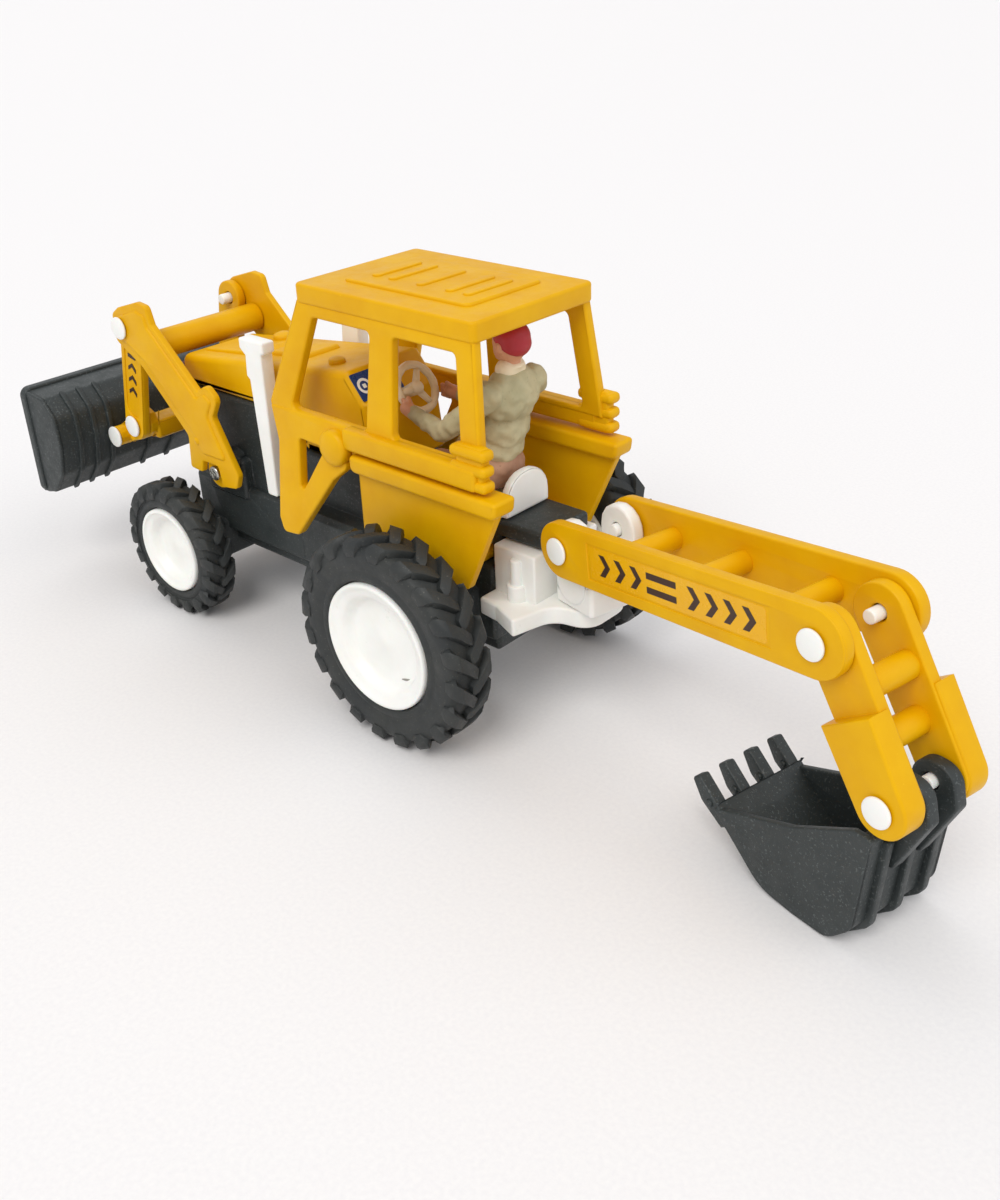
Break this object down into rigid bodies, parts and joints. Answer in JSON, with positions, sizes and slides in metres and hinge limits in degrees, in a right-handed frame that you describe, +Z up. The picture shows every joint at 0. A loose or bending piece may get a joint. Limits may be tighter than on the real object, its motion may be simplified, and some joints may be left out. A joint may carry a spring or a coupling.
{
  "type": "toy backhoe loader",
  "caption": "Pull-along toy tractor with an open cab and seated driver, a hinged front loader bucket and a swinging rear digger arm with a toothed bucket.",
  "frame": {"origin": "bottom centre of the whole toy's box, on the ground between the axles", "axes": "+X forward to the loader bucket, +Y to the driver's left, +Z up"},
  "size_m": [0.317, 0.0888, 0.1139],
  "materials": {
    "yellow_plastic": "moulded yellow plastic, soft gloss",
    "dark_plastic": "dark grey moulded plastic, satin",
    "white_plastic": "white moulded plastic, soft gloss",
    "dark_red_plastic": "dark red moulded plastic",
    "cream_plastic": "cream moulded plastic",
    "figure_plastic": "hand-painted figure, matt",
    "tyre_rubber": "black vinyl tyre with lugs",
    "steel": "plain steel"
  },
  "bodies": {
    "tractor": {"chassis": "dark_plastic", "hood": "yellow_plastic", "grille": "dark_red_plastic", "rear_body": "yellow_plastic", "cab_frame": "yellow_plastic", "steering_wheel": "cream_plastic", "driver_seat": "white_plastic", "driver_figure": "figure_plastic", "exhaust_left": "white_plastic", "exhaust_right": "white_plastic", "stabiliser": "white_plastic", "loader_pivot_screw_left": "steel", "loader_pivot_screw_right": "steel"},
    "front_wheels": {"front_axle": "steel", "front_rim_left": "white_plastic", "front_rim_right": "white_plastic", "front_tyre_left": "tyre_rubber", "front_tyre_right": "tyre_rubber"},
    "rear_wheels": {"rear_axle": "steel", "rear_rim_left": "white_plastic", "rear_rim_right": "white_plastic", "rear_tyre_left": "tyre_rubber", "rear_tyre_right": "tyre_rubber"},
    "loader_arms": {"loader_arm_left": "yellow_plastic", "loader_arm_right": "yellow_plastic", "loader_cross_tube": "yellow_plastic", "loader_upper_pin_left": "white_plastic", "loader_upper_pin_right": "white_plastic"},
    "loader_links": {"loader_link_left": "yellow_plastic", "loader_link_right": "yellow_plastic", "loader_link_pin_left": "white_plastic", "loader_link_pin_right": "white_plastic"},
    "tool_carrier": {"loader_carrier": "yellow_plastic", "loader_bucket_pin_left": "white_plastic", "loader_bucket_pin_right": "white_plastic"},
    "front_bucket": {"loader_bucket": "dark_plastic"},
    "swing_head": {"swing_bracket": "white_plastic"},
    "boom": {"boom_left": "yellow_plastic", "boom_right": "yellow_plastic", "boom_pivot_pin_left": "white_plastic", "boom_pivot_pin_right": "white_plastic", "elbow_pin_left": "white_plastic", "elbow_pin_right": "white_plastic"},
    "stick": {"stick_left": "yellow_plastic", "stick_right": "yellow_plastic", "stick_pin_left": "white_plastic", "stick_pin_right": "white_plastic"},
    "digging_bucket": {"backhoe_bucket": "dark_plastic"}
  },
  "joints": [
    {"name": "front_wheels_roll", "type": "hinge", "parent": "tractor", "child": "front_wheels", "pos_m": [0.0927, 0, 0.0219], "axis": [0, 1, 0], "continuous": true},
    {"name": "rear_wheels_roll", "type": "hinge", "parent": "tractor", "child": "rear_wheels", "pos_m": [-0.0127, 0, 0.03], "axis": [0, 1, 0], "continuous": true},
    {"name": "loader_lift", "type": "hinge", "parent": "tractor", "child": "loader_arms", "pos_m": [0.0793, 0, 0.0475], "axis": [0, 1, 0], "range_deg": [-45, 12]},
    {"name": "loader_link_swing", "type": "hinge", "parent": "loader_arms", "child": "loader_links", "pos_m": [0.1158, 0, 0.0868], "axis": [0, 1, 0], "range_deg": [-35, 0]},
    {"name": "tool_carrier_tilt", "type": "hinge", "parent": "loader_links", "child": "tool_carrier", "pos_m": [0.1236, 0, 0.0522], "axis": [0, 1, 0], "range_deg": [-25, 20]},
    {"name": "front_bucket_tilt", "type": "hinge", "parent": "tool_carrier", "child": "front_bucket", "pos_m": [0.1356, 0, 0.0458], "axis": [0, 1, 0], "range_deg": [-30, 30]},
    {"name": "backhoe_swing", "type": "hinge", "parent": "tractor", "child": "swing_head", "pos_m": [-0.0487, 0, 0.036], "axis": [0, 0, 1], "range_deg": [-9, 33]},
    {"name": "boom_lift", "type": "hinge", "parent": "swing_head", "child": "boom", "pos_m": [-0.05163, 0.00065, 0.0568], "axis": [0.2181, 0.9759, 0], "range_deg": [0, 50]},
    {"name": "stick_curl", "type": "hinge", "parent": "boom", "child": "stick", "pos_m": [-0.13019, 0.01821, 0.0677], "axis": [-0.2181, -0.9759, 0], "range_deg": [-45, 40]},
    {"name": "digging_bucket_curl", "type": "hinge", "parent": "stick", "child": "digging_bucket", "pos_m": [-0.14971, 0.02258, 0.039], "axis": [0.2181, 0.9759, 0], "range_deg": [-38, 35]}
  ]
}
